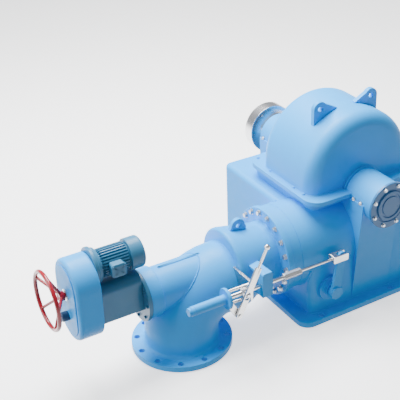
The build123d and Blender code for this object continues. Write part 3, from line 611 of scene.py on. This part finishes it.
points = np.stack([np.broadcast_to(along[:, None], ringed.shape), ringed * np.sin(fin_angle),
                   motor_z + ringed * np.cos(fin_angle)], -1)
dress("motor_fins", points, grid_faces(len(along), len(fin_angle)), slate_enamel, corner=35)
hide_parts("motor_body")
cover_front, cover_back = low("motor_fan_cover", "x"), high("motor_fan_cover", "x")
cover_radius, groove, lip = 0.070, cover_back - 0.004, 0.0008
turned("fan_cover_body",
       [(cover_front, 0.0), (cover_front, cover_radius, 0.002), (cover_back, cover_radius, 0.012),
        (cover_back, 0.052, 0.001), (groove, 0.050, lip), (groove, 0.045, lip),
        (cover_back, 0.043, lip), (cover_back, 0.039, lip), (groove, 0.037, lip), (groove, 0.032, lip),
        (cover_back, 0.030, lip), (cover_back, 0.026, lip), (groove, 0.024, lip), (groove, 0.019, lip),
        (cover_back, 0.017, lip), (cover_back, 0.0)],
       "x", (0, 0, motor_z), slate_enamel)
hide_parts("motor_fan_cover")
box_near, box_root = low("motor_terminal_box", "y"), -0.050
x0, x1 = low("motor_terminal_box", "x"), high("motor_terminal_box", "x")
z0, z1 = low("motor_terminal_box", "z"), high("motor_terminal_box", "z")
lid, lid_lip, screw_inset = box_near + 0.012, 0.004, 0.008
lofted("terminal_box_body",
       box_outline(z0 + lid_lip, z1 - lid_lip, x0 + lid_lip, x1 - lid_lip, 0.010),
       [(0.006, box_root, 0), (0, box_root, 0.001), (0, lid, 0.002), (0.006, lid, 0)],
       "y", slate_enamel)
lofted("terminal_box_lid", box_outline(z0, z1, x0, x1, 0.014),
       [(0.006, box_near + 0.013, 0), (0, box_near + 0.013, 0.002), (0, box_near + 0.004, 0.004),
        (0.010, box_near, 0.004), (0.020, box_near, 0)],
       "y", slate_enamel)
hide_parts("motor_terminal_box")
screws = [(x, box_near + 0.0035, z) for x in (x0 + screw_inset, x1 - screw_inset)
          for z in (z0 + screw_inset, z1 - screw_inset)]
bolts("terminal_box_screws", screws, (0, -1, 0), 0.006, 0.0032, slate_enamel, washer=False,
      round_head=True)

# Handwheel
eased("handwheel_hub", 0.0015, angle=40)
nodes["handwheel_rim"].data.materials[0] = red_enamel

# Deflector linkage
barrel_rear, barrel_front = low("servo_barrel", "x"), high("servo_barrel", "x")
barrel_radius, tail_radius, barrel_groove_radius = 0.022, 0.019, 0.0205
turned("barrel_body",
       [(barrel_rear, 0.0), (barrel_rear, tail_radius, 0.002), (barrel_rear + 0.012, tail_radius),
        (barrel_rear + 0.012, barrel_radius, 0.0015), (barrel_rear + 0.026, barrel_radius, 0.001),
        (barrel_rear + 0.026, barrel_groove_radius), (barrel_rear + 0.029, barrel_groove_radius),
        (barrel_rear + 0.029, barrel_radius, 0.001), (barrel_front, barrel_radius),
        (barrel_front, 0.0)],
       "x", (0, rod_y, rod_z), sky_enamel, around=64)
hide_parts("servo_barrel")
eased("barrel_flange", 0.002)
eased("rod_yoke", 0.0015, angle=50)
eased("rod_guide", 0.002)
eased("lever_bracket", 0.0015)
eased("servo_rod", 0.0012, angle=50)
eased("link_rod", 0.001, angle=50)
eased("rod_fork", 0.0015, angle=40)
eased("crank_bearing", 0.0015)
eased("deflector_crank", 0.002, angle=40)
eased("hand_lever", 0.0012, angle=50)

# Camera, lights and floor; the camera stands where the photograph's does
camera = bpy.data.cameras.new("camera")
camera.lens = 85.27
camera.sensor_width = 36.0
camera.shift_x = -0.1621
camera.shift_y = -0.0157
eye = bpy.data.objects.new("camera", camera)
scene.collection.objects.link(eye)
eye.location = (-2.5183, -3.1085, 2.7156)
camera_drop, camera_turn = np.radians(29.29), np.radians(33.24)
eye.rotation_euler = (np.pi / 2 - camera_drop, 0.0, -camera_turn)
scene.camera = eye
lamp("top_light", (-0.6, 1.5, 3.9), (-0.3, 0.1, 0.4), (3.0, 2.4), 600)
lamp("left_light", (-4.2, 0.9, 2.2), (-0.4, 0.0, 0.4), (2.0, 3.0), 150, (0.95, 0.98, 1.0))

world = bpy.data.worlds.new("studio")
scene.world = world
world.use_nodes = True
world.node_tree.nodes["Background"].inputs["Color"].default_value = (0.92, 0.95, 1.0, 1)
world.node_tree.nodes["Background"].inputs["Strength"].default_value = 0.50

floor_mesh = bpy.data.meshes.new("floor")
floor_mesh.from_pydata([(-30, -30, 0), (30, -30, 0), (30, 30, 0), (-30, 30, 0)], [], [(0, 1, 2, 3)])
floor = bpy.data.objects.new("floor", floor_mesh)
scene.collection.objects.link(floor)
pale_floor = enamel("pale_floor", (0.92, 0.92, 0.92), 0.65, 0.0, 0.02, 0.003)
pale_floor.node_tree.nodes["Principled BSDF"].inputs["Emission Color"].default_value = (1, 1, 1, 1)
pale_floor.node_tree.nodes["Principled BSDF"].inputs["Emission Strength"].default_value = 1.3
floor_mesh.materials.append(pale_floor)
floor.visible_diffuse = False
